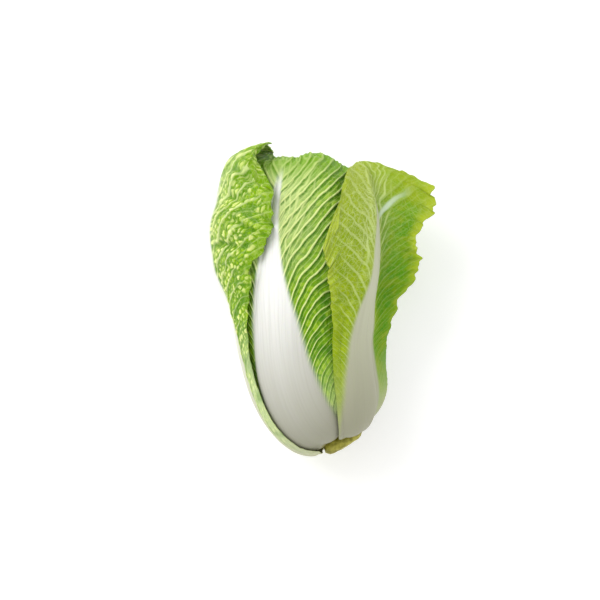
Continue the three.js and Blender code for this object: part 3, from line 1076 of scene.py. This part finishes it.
class LeafFinish(Finish):
    """Living leaf: crisp, waxy and faintly see-through, white at the rib and green at the edge."""

    def __init__(self, tint: LeafTint) -> None:
        """Makes the whole material.

        Args:
            tint: its colours.
        """
        super().__init__(tint.name, 0.48)
        self.tint = tint
        names = ("rib", "margin", "length", "halo", "blister", "wing", "crease")
        numbers = (self.add("ShaderNodeAttribute", out="Fac", attribute_name=name) for name in names)
        self.rib, self.margin, self.length, self.halo, self.blister, self.wing, self.crease = numbers
        self.blade = self.add("ShaderNodeUVMap", uv_map="blade")
        self.across = self.add(PARTS, (self.blade,), "X")
        self.up = self.add(PARTS, (self.blade,), "Y")
        self.passed = self.add(PARTS, (self.add("ShaderNodeUVMap", uv_map="veins"),), "X")
        side, steep, net = self.side_veins(), self.steep_veins(), self.net()
        green = self.veined(self.green(), side, steep, net)
        strong = 0.0
        if tint.wing:
            strong = self.wing_vein()
            green = self.layers(green, (strong, WING_VEIN))
        # Painted shade in the creases across the blade, less of it on the blisters' tops.
        painted_crease_shade = self.mask((self.crease, 0.8, 3.8, 0.0, 0.5), (self.blister, 0.0, 0.7, 1.0, 0.25))
        # Near the foot the blade turns to the foot colour: partly its own pale base, partly painted shade.
        green = self.layers(green, (painted_crease_shade, tint.deep), ((self.length, 0.03, 0.2, 0.85, 0.0), tint.foot))
        fibres = self.fibres()
        colour = self.add(MIX, {0: self.rib, 6: green, 7: self.white(fibres)}, 2, data_type="RGBA")
        self.link(self.layers(colour, ((self.length, 0.0, 0.05, 0.8, 0.0), FOOT_OLIVE)), "Base Color")
        self.raise_veins(self.add(MATH, (side, steep), operation="MAXIMUM"), net, strong, fibres)
        self.shader.inputs["IOR"].default_value = 1.42
        self.shader.inputs["Specular IOR Level"].default_value = 0.14
        self.shader.inputs["Subsurface Weight"].default_value = 0.06
        self.shader.inputs["Subsurface Radius"].default_value = (0.5, 0.8, 0.2)
        self.shader.inputs["Subsurface Scale"].default_value = 0.002

    def side_veins(self) -> Socket:
        """Side veins, thinning from 2 mm at the rib to under 1 mm at the edge.

        Returns:
            How strongly they show, 0 to 1.
        """
        veins = self.tint.veins
        apart = self.add(MATH, (self.passed, 0.5), operation="PINGPONG")
        thin = self.mask((self.margin, 0.3, 1.0, 0.115, 0.04))
        line = self.add(MATH, (apart, thin), operation="DIVIDE")
        fading = (self.margin, 0.45, 1.0, veins, 0.25 * veins)
        return self.mask((line, 0.45, 1.35, 1.0, 0.0), fading, (self.wing, 0.0, 1.0, 1.0, 0.4))

    def steep_veins(self) -> Socket:
        """Fine veins that climb steeply beside the rib near the tip, 5 mm apart.

        Returns:
            How strongly they show, 0 to 1.
        """
        wander = self.add(NOISE, {"Vector": self.blade, "Scale": 3.2, "Detail": 1.0})
        across = self.mask(self.add(MATH, (self.across,), operation="ABSOLUTE"), 21.0)
        climb = self.add(MATH, (across, self.mask(self.up, 6.0)), operation="SUBTRACT")
        climb = self.add(MATH, (climb, self.mask(wander, 5.0)), operation="ADD")
        line = self.add(MATH, (climb, 0.5), operation="PINGPONG")
        return self.mask((line, 0.06, 0.24, 1.0, 0.0), (self.halo, 0.1, 0.5, 0.0, 1.0), self.tint.steep)

    def net(self) -> Socket:
        """A net of small veins, in cells 7 mm and 3 mm across.

        Returns:
            How strongly it shows, 0 to 1.
        """
        drift = self.add(NOISE, {"Vector": self.blade, "Scale": 11.0, "Detail": 2.0}, "Color")
        bent = self.add(MIX, {0: 0.06, 4: self.blade, 5: drift}, 1, data_type="VECTOR")
        coarse, fine = (
            self.add("ShaderNodeTexVoronoi", {"Vector": bent, "Scale": scale}, feature="DISTANCE_TO_EDGE")
            for scale in (14.0, 33.0)
        )
        lines = self.mask((coarse, 0.0, 0.07, 1.0, 0.0)), self.mask((fine, 0.0, 0.12, 0.6, 0.0))
        return self.mask(self.add(MATH, lines, operation="MAXIMUM"), (self.wing, 0.0, 1.0, 1.0, 0.35))

    def wing_vein(self) -> Socket:
        """One strong vein, 5 mm wide, that crosses the flared side and fades over 30 mm.

        Returns:
            How strongly it shows, 0 to 1.
        """
        line = self.add(MATH, (self.up, self.mask(self.across, WING_VEIN_SLOPE)), operation="SUBTRACT")
        line = self.add(MATH, (line, WING_VEIN_START), operation="SUBTRACT")
        line = self.add(MATH, (line,), operation="ABSOLUTE")
        fading = (self.across, 0.2, 0.5, 0.85, 0.0)
        return self.mask((line, 0.012, 0.045, 1.0, 0.0), fading, (self.wing, 0.0, 0.5, 0.0, 1.0))

    def green(self) -> Socket:
        """The blade between its veins: painted shade makes it deep in the hollows between the blisters and
        on the flared side, a painted highlight makes it pale on their crests, and it is pale near the foot.

        Returns:
            The colour.
        """
        tint, margin, length = self.tint, self.margin, self.length
        body = linear(tint.blade)
        # Painted shade on the flared side, which turns away from the key light.
        if tint.wing:
            body = self.add(MIX, {0: self.wing, 6: body, 7: linear(tint.wing)}, 2, data_type="RGBA")
        cloud = self.add(NOISE, {"Vector": self.blade, "Scale": 4.5, "Detail": 4.0})
        spots = self.add(NOISE, {"Vector": self.blade, "Scale": 5.5, "Detail": 1.0})
        # Painted highlight on the blisters' crests, faint on the flared side.
        crests = self.mask((self.blister, 0.3, 0.68, 0.0, tint.blisters), (self.wing, 0.0, 1.0, 1.0, 0.2))
        return self.layers(
            body,
            ((cloud, 0.38, 0.68, 0.0, 0.65), tint.deep),
            # Painted shade in the low places between the blisters.
            ((self.blister, 0.0, 0.3, 0.8 * tint.blisters, 0.0), tint.deep),
            (crests, tint.crest_highlight),
            (self.mask((spots, 0.54, 0.64, 0.0, 0.85), (margin, 0.3, 0.75, 0.0, 1.0)), tint.deep),
            (self.mask((margin, 0.8, 1.0, 0.0, 1.0), (length, 0.25, 0.7, 0.0, 1.0)), tint.edge),
            ((length, tint.pale_to - 0.25, tint.pale_to, 0.75, 0.0), tint.pale),
            ((length, 0.68, 0.95, 0.0, tint.top), tint.edge),
            (self.mask(self.halo, (length, 0.86, 0.96, tint.halo, 0.4 * tint.halo)), tint.pale),
        )

    def veined(self, green: Socket, side: Socket, steep: Socket, net: Socket) -> Socket:
        """The blade with its veins drawn on it, each side vein with a hollow in shade below it.

        Args:
            green: the blade's colour.
            side: where the side veins are.
            steep: where the steep ones are.
            net: where the small ones are.

        Returns:
            The colour.
        """
        tint, length = self.tint, self.length
        past = self.add(MATH, (self.passed,), operation="FRACT")
        # Painted shade in the hollow below each side vein.
        hollow = self.mask((past, 0.5, 0.8, 0.0, 1.0), (past, 0.86, 0.95, 1.0, 0.0))
        middle = self.add(MATH, (self.passed, 0.5), operation="ADD")
        between = self.add(MATH, (middle, 0.5), operation="PINGPONG")
        lines = self.mask((between, 0.015, 0.06, 0.3 * tint.veins, 0.0))
        for other in (side, steep):
            lines = self.add(MATH, (lines, other), operation="MAXIMUM")
        return self.layers(
            green,
            (self.mask(hollow, (self.margin, 0.5, 1.0, 0.8 * tint.veins, 0.0)), tint.deep),
            (self.mask(net, (length, 0.3, 0.85, 0.25 * tint.net, tint.net)), tint.vein),
            (lines, tint.vein),
            ((length, 0.8, 0.95, 0.0, tint.tip), tint.edge),
        )

    def fibres(self) -> Socket:
        """Fibres along the rib, about 2 mm apart."""
        stretch = self.add("ShaderNodeMapping", {"Vector": self.blade, "Scale": (50.0, 1.2, 1.0)})
        return self.add(NOISE, {"Vector": stretch, "Scale": 1.0, "Detail": 3.0})

    def white(self, fibres: Socket) -> Socket:
        """The rib, darkened towards the foot by painted shade, and duller along its fibres."""
        # Painted shade darkens the rib to the foot colour towards the foot.
        rib_shade_ramp, dull = (self.length, 0.0, 0.6, 0.0, 1.0), (fibres, 0.4, 0.75, 0.0, 0.16)
        return self.layers(self.tint.foot, (rib_shade_ramp, self.tint.rib), (dull, self.tint.foot))

    def raise_veins(self, lines: Socket, net: Socket, strong: Factor, fibres: Socket) -> None:
        """Raises the veins and fibres from the surface, by under a millimetre.

        Args:
            lines: where the side veins are.
            net: where the small ones are.
            strong: where the wing's strong one is.
            fibres: the rib's fibres.
        """
        height = self.add(MATH, (self.mask(net, 0.35), lines), operation="ADD")
        height = self.add(MATH, (height, strong), operation="ADD")
        blade = self.add(MATH, (1.0, self.rib), operation="SUBTRACT")
        height = self.add(MATH, (self.mask(height, blade), self.mask(fibres, 0.35)), operation="ADD")
        bump = {"Height": height, "Strength": 0.6, "Distance": 0.0008}
        self.link(self.add("ShaderNodeBump", bump), "Normal")


def stem_finish() -> bpy.types.Material:
    """Cut stem: pale wet pith with rings, dried to a blotched olive rind round the side.

    Returns:
        The material.
    """
    f = Finish("stem_cut_pith", 0.6)
    spot = f.add("ShaderNodeUVMap", uv_map="blade")
    radius = f.add(PARTS, (spot,), "X")
    uneven = f.mask(f.add(NOISE, {"Vector": spot, "Scale": 4.0, "Detail": 5.0}), 7.0)
    rings = f.add(MATH, (f.mask(radius, 34.0), uneven), operation="ADD")
    rings = f.add(MATH, (rings,), operation="SINE")
    pith = f.layers("cdc692", ((rings, -0.2, 1.0, 0.0, 0.3), "a2964e"))
    solid = f.add("ShaderNodeTexCoord", out="Object")
    blotch = f.add(NOISE, {"Vector": solid, "Scale": 190.0, "Detail": 4.0})
    rind = ((blotch, 0.35, 0.6, 0.0, 1.0), "a8a238"), ((blotch, 0.6, 0.72, 0.0, 0.8), "c9c46c")
    side = f.mask((radius, 0.72, 0.93, 0.0, 1.0))
    f.link(f.add(MIX, {0: side, 6: pith, 7: f.layers("7c7710", *rind)}, 2, data_type="RGBA"), "Base Color")
    bump = {"Height": blotch, "Strength": 0.7, "Distance": 0.0015}
    f.link(f.add("ShaderNodeBump", bump), "Normal")
    return f.material


def floor_finish() -> bpy.types.Material:
    """Seamless matt paper.

    Returns:
        The material.
    """
    f = Finish("studio_paper", 0.9)
    f.shader.inputs["Base Color"].default_value = linear("fbfbfb")
    f.shader.inputs["Emission Color"].default_value = (1, 1, 1, 1)
    f.shader.inputs["Emission Strength"].default_value = 0.22
    return f.material


# ---- the head's parts ----------------------------------------------------------------------------
GOLDEN = 137.5  # degrees from one inner leaf to the next
INNER_LEAVES = 5
HEART_LEAVES = 4

FRONT_LEAVES = [
    LeafForm(
        "leaf_01_left", 0, -125, 22, 0.975, drift=36, late=0.6, left=(1, 0.95, 0.8, 0.7, 0.7),
        right=(1.05, 1.34, 1.14, 0.94, 0.8), ribbed=(0.6, 0.7, 0.8, 0.8, 0.8), round=(0.11, 0.12),
        folds=4.5, curl=9, white=(1.5, 1.1, 0.9, 0.5, 0.15), ragged=(2, 3), blistered=1.5, cell=(6, 4),
        crease=4, crown=15, notches=((1, 1.0, 0.09, 10), (1, 0.57, 0.045, 7)), pitch=9,
        skin=Skin.SAVOYED, columns=160, rows=270,
    ),
    LeafForm(
        "leaf_02_right", 1, 37, 20, 0.9, drift=50, late=2.4, left=(0.7, 0.62, 0.55, 0.6, 0.95),
        right=(1.4, 1.1, 0.81, 0.67, 0.8), ribbed=(0.62, 0.58, 0.85, 1.2, 1.1), round=(0.2, 0.09),
        loose=4.5, frill=4.5, spread=98, white=(1.4, 1.1, 0.68, 0.32, 0.1), white_shift=(0, 5, 4, 3, 15),
        ragged=(1, 3.6), veined=0.35, blistered=0.35, crown=3, trim=13,
        notches=((1, 0.715, 0.125, 13), (1, 0.85, 0.02, 4), (1, 0.91, 0.015, 3), (1, 0.97, 0.02, 4)),
        skin=Skin.YELLOW, columns=160, rows=270,
    ),
    LeafForm(
        "leaf_03_under", 2, 175, 18, 0.92, drift=7, left=(1, 1, 0.97, 0.9, 0.9), frill=2,
        columns=110, rows=180,
    ),
    LeafForm(
        "leaf_04_front", 3, -42, 16, 0.975, drift=36, right=(1.2, 1.35, 1.15, 1, 1), loose=1.5, frill=2,
        curl=3, white=(1, 1, 0.93, 0.6, 0.08), white_shift=(0, 0, -5, -4, 0), ragged=(2, 2), veined=1,
        blistered=1.4, crown=9, crown_at=(-2, 34), steep=1.3, pale=24, columns=160, rows=270,
    ),
    LeafForm("leaf_05_flank", 4, 108, 14, 0.92, drift=4, columns=110, rows=180),
]


def inner_form(n: int) -> LeafForm:
    """One of the inner leaves.

    Args:
        n: which one, from the outside inwards.

    Returns:
        Its form.
    """
    narrowing = (1, 1, 0.95, 0.82, 0.75)
    return LeafForm(
        f"leaf_{n + 6:02d}_inner", n + 5, 107 + GOLDEN * (n + 1), 12 - 1.8 * n, 0.92 + 0.005 * n,
        size=0.92 - 0.025 * n, frill=0.8, tip_frill=1, pucker=0.3, left=narrowing, right=narrowing,
        skin=Skin.INNER, columns=60, rows=100,
    )


def heart_form(n: int) -> LeafForm:
    """One of the heart's own leaves.

    Args:
        n: which one, from the outside inwards.

    Returns:
        Its form.
    """
    return LeafForm(
        f"heart_leaf_{n + 1}", n + 20, 108 + GOLDEN * (n + 1 + INNER_LEAVES), 3, 0.97 + 0.006 * n,
        foot=0.4, size=0.5, frill=0.6, tip_frill=2.5, pucker=0.3, fused=True,
        skin=Skin.HEART, columns=60, rows=80,
    )


@dataclass
class Head:
    """The wrapped leaves and the heart."""

    place: HeadPlace
    covers: Dict[str, Array] = field(default_factory=dict)

    def stack(self) -> List[Leaf]:
        """Lays every leaf in turn, from the heart outwards.

        Returns:
            The leaves, outermost first.
        """
        inner = [inner_form(n) for n in range(INNER_LEAVES)]
        heart = [heart_form(n) for n in range(HEART_LEAVES)]
        leaves = [Leaf(form) for form in FRONT_LEAVES + inner + heart]
        stack = StackMap()
        for leaf in reversed(leaves):
            cover = stack.cover()
            self.covers[leaf.form.name] = cover
            leaf.lay_on(stack, cover)
        return leaves

    def build(self, slots: Dict[str, str]) -> None:
        """Builds and dresses every leaf.

        Args:
            slots: the material slot of each node; not used.
        """
        skins = {skin: LeafFinish(tint).material for skin, tint in TINTS.items()}
        for leaf in self.stack():
            form = leaf.form
            piece = grid_sheet(form.name + "_dressed", form.columns, form.rows)
            dress_leaf(piece, leaf, self.covers[form.name], self.place)
            node = "heart" if form.fused else form.name
            piece.data.materials.append(skins[form.skin])
            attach(piece, "root")
            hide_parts(node)
            LOG.info("%s: %d faces", piece.name, len(piece.data.polygons))


@dataclass
class HeartCore:
    """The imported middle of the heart, under its own leaves."""

    place: HeadPlace
    top: float = 0.8  # how far up the side line it reaches
    depth: float = 0.5  # under the side line
    stretch: float = 1.06  # of its height, so that its ends run past the side line's
    overshoot: float = 0.03  # by which they do so
    pole: float = 0.12  # of the sphere's radius, over which it closes at its ends
    vein_count: int = 8
    segments: int = 64
    rings: int = 48

    def build(self, slots: Dict[str, str]) -> None:
        """Shapes a sphere into the heart's own side line.

        Args:
            slots: the material slot of each node; not used.
        """
        deselect_all()
        bpy.ops.mesh.primitive_uv_sphere_add(segments=self.segments, ring_count=self.rings, radius=1)
        piece = bpy.context.active_object
        piece.name = piece.data.name = "heart_core_dressed"
        points = vertex_places(piece.data)
        rise = (np.arcsin(np.clip(points[:, 2], -1, 1)) / np.pi + 0.5) * self.stretch - self.overshoot
        angle = np.degrees(np.arctan2(points[:, 0], -points[:, 1]))
        s = np.clip(rise, 0, 1) * self.top
        places = on_head(angle, s, np.full(s.shape, -self.depth))
        closing = np.clip(np.hypot(points[:, 0], points[:, 1]) / self.pole, 0, 1)
        places[..., 0] *= closing
        places[..., 2] *= closing
        set_places(piece.data, self.place.lay(settle(places), LEAST_WALL))
        turn_faces_out(piece)
        for name, value in (("rib", 0.2), ("margin", 0.3), ("length", 0.5), ("halo", 0), ("blister", 0.3)):
            set_number(piece.data, name, np.full(s.shape, value))
        set_map(piece.data, "blade", s * UP_UNITS, angle / ACROSS_UNIT)
        set_map(piece.data, "veins", s * self.vein_count, np.full(s.shape, 0.5))
        piece.data.shade_smooth()
        piece.data.materials.append(LeafFinish(TINTS[Skin.HEART]).material)
        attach(piece, "root")
        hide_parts("heart")
        LOG.info("%s: %d faces", piece.name, len(piece.data.polygons))


@dataclass
class CutStem:
    """The cut stem: a short cone with a bevelled, slightly uneven cut face."""

    place: HeadPlace
    length: float = 8  # of the cylinder that it is shaped from
    face_rings: Sequence[float] = (1.2, 2.5, 3, 3, 3, 3, 2.5)
    neck_rings: Sequence[float] = (0.6, 3, 4)
    vertices: int = 96

    def build(self, slots: Dict[str, str]) -> None:
        """Shapes a cylinder into the stem: uneven cut face, rounded rim and tapered neck.

        Args:
            slots: the material slot of each node; not used.
        """
        piece = self.blank()
        set_places(piece.data, self.place.lay(settle(self.shape(piece.data)), 0))
        turn_faces_out(piece)
        piece.data.shade_smooth()
        piece.data.materials.append(stem_finish())
        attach(piece, "root")
        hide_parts("cut_stem")
        LOG.info("%s: %d faces", piece.name, len(piece.data.polygons))

    def blank(self) -> bpy.types.Object:
        """A plain cylinder, its ends inset in rings and all of it subdivided.

        Returns:
            The piece.
        """
        deselect_all()
        bpy.ops.mesh.primitive_cylinder_add(
            vertices=self.vertices, radius=STEM_RADIUS, depth=self.length, end_fill_type="NGON"
        )
        piece = bpy.context.active_object
        piece.name = piece.data.name = "cut_stem_dressed"
        bpy.ops.object.mode_set(mode="EDIT")
        bpy.ops.mesh.select_mode(type="FACE")
        for up, insets in ((-1, self.face_rings), (1, self.neck_rings)):
            bpy.ops.mesh.select_all(action="DESELECT")
            bpy.ops.object.mode_set(mode="OBJECT")
            for face in piece.data.polygons:
                face.select = face.normal.z * up > 0.9
            bpy.ops.object.mode_set(mode="EDIT")
            for width in insets:
                bpy.ops.mesh.inset(thickness=width, depth=0)
        bpy.ops.mesh.select_all(action="SELECT")
        bpy.ops.mesh.select_mode(type="EDGE")
        bpy.ops.mesh.quads_convert_to_tris()
        bpy.ops.mesh.subdivide(number_cuts=3)
        bpy.ops.object.mode_set(mode="OBJECT")
        return piece

    def shape(self, mesh: bpy.types.Mesh) -> Array:
        """Where the cylinder's vertices go, and the map that its finish reads.

        Args:
            mesh: the cylinder's mesh.

        Returns:
            Their places on the upright head.
        """
        p = vertex_places(mesh)
        r = np.hypot(p[:, 0], p[:, 1])
        angle = np.arctan2(p[:, 1], p[:, 0])
        up = (p[:, 2] + self.length / 2) / self.length
        neck = STEM_RADIUS + (STEM_TOP_RADIUS - STEM_RADIUS) * smooth(up, 0.35, 1)
        dent = value_noise(np.cos(angle) * 2.2 + 9, np.sin(angle) * 2.2 + 9, 63) - 0.6
        scar = value_noise(np.cos(angle) * 6 + 9, np.sin(angle) * 6 + up * 2, 64) - 0.5
        lip = (1 - 0.2 * (1 - smooth(up, -0.1, 0.42)) ** 2) * (1 + 0.07 * dent + 0.035 * scar)
        radius = r / STEM_RADIUS * neck * lip
        y = CUT_Y + (STEM_TOP_Y - CUT_Y) * up
        rough = value_noise(p[:, 0] / 5, p[:, 1] / 5, 61) + 0.5 * value_noise(p[:, 0] / 2, p[:, 1] / 2, 62)
        rough = (0.9 * rough - 0.55) * smooth(STEM_RADIUS - r, -0.5, 4)
        y = y + (1 - smooth(up, 0.0, 0.2)) * (rough + 1.5 * (r / STEM_RADIUS) ** 3 + 1.2)
        set_map(mesh, "blade", r / STEM_RADIUS, angle / math.tau)
        return np.stack([radius * np.sin(angle), y, radius * np.cos(angle)], -1)


# ---- studio --------------------------------------------------------------------------------------
@dataclass
class Studio:
    """Floor, lights and camera."""

    centre: Vector
    paper: float = 160  # side of the floor, in metres
    elevation: float = math.radians(82)
    roll: float = math.radians(6.2)
    distance: float = 1.55
    lens: float = 100
    aim: Tuple[float, float] = (0.031, 0.005)

    def floor(self) -> None:
        """A pale sheet of paper."""
        deselect_all()
        bpy.ops.mesh.primitive_plane_add(size=self.paper, location=(0, 0, 0))
        floor = bpy.context.active_object
        floor.name = "studio_floor"
        floor.data.materials.append(floor_finish())
        floor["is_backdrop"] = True

    def light(self, name: str, place: Vector, size: float, power: float) -> None:
        """A square soft light turned towards the head.

        Args:
            name: its name.
            place: where it hangs, in metres.
            size: its side, in metres.
            power: in watts.
        """
        bpy.ops.object.light_add(type="AREA", location=place)
        lamp = bpy.context.active_object
        lamp.name = name
        lamp.data.size = size
        lamp.data.energy = power
        lamp.rotation_euler = (self.centre - place).to_track_quat("-Z", "Y").to_euler()

    def lights(self) -> None:
        """A large key from the upper left, a fill, and an even pale surround."""
        self.light("key_light", Vector((-0.9, 0.9, 1.5)), 1.1, 14)
        self.light("fill_light", Vector((1.1, -0.5, 1.4)), 1.2, 3)
        world = bpy.data.worlds.new("studio")
        world.use_nodes = True
        world.node_tree.nodes["Background"].inputs["Color"].default_value = (1, 1, 1, 1)
        world.node_tree.nodes["Background"].inputs["Strength"].default_value = 0.78
        bpy.context.scene.world = world
        bpy.context.scene.view_settings.view_transform = "Standard"

    def camera(self) -> None:
        """Looks down on the head along its tips, rolled so that the head leans to the left."""
        back = Vector((0, -math.cos(self.elevation), math.sin(self.elevation)))
        up = Vector((0, math.sin(self.elevation), math.cos(self.elevation)))
        right = Vector((1, 0, 0))
        turn = Matrix.Rotation(self.roll, 3, back).inverted()
        up, right = turn @ up, turn @ right
        aim = self.centre - right * self.aim[0] - up * self.aim[1]
        data = bpy.data.cameras.new("camera")
        data.lens = self.lens
        data.sensor_width = 36
        camera = bpy.data.objects.new("camera", data)
        bpy.context.collection.objects.link(camera)
        basis = Matrix((right, up, back)).transposed().to_4x4()
        basis.translation = aim + back * self.distance
        camera.matrix_world = basis
        bpy.context.scene.camera = camera


def main() -> None:
    """Builds the head and its studio."""
    logging.basicConfig(level=logging.INFO, format="%(name)s: %(message)s")
    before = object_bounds()
    slots = {part["node"]: part["material_slot"] for part in frame["record"]["subparts"]}
    place = HeadPlace(before)
    Head(place).build(slots)
    HeartCore(place).build(slots)
    CutStem(place).build(slots)
    studio = Studio(Vector((0, 0, (before[0][2] + before[1][2]) / 2)))
    studio.floor()
    studio.lights()
    studio.camera()


if __name__ == "__main__":
    main()
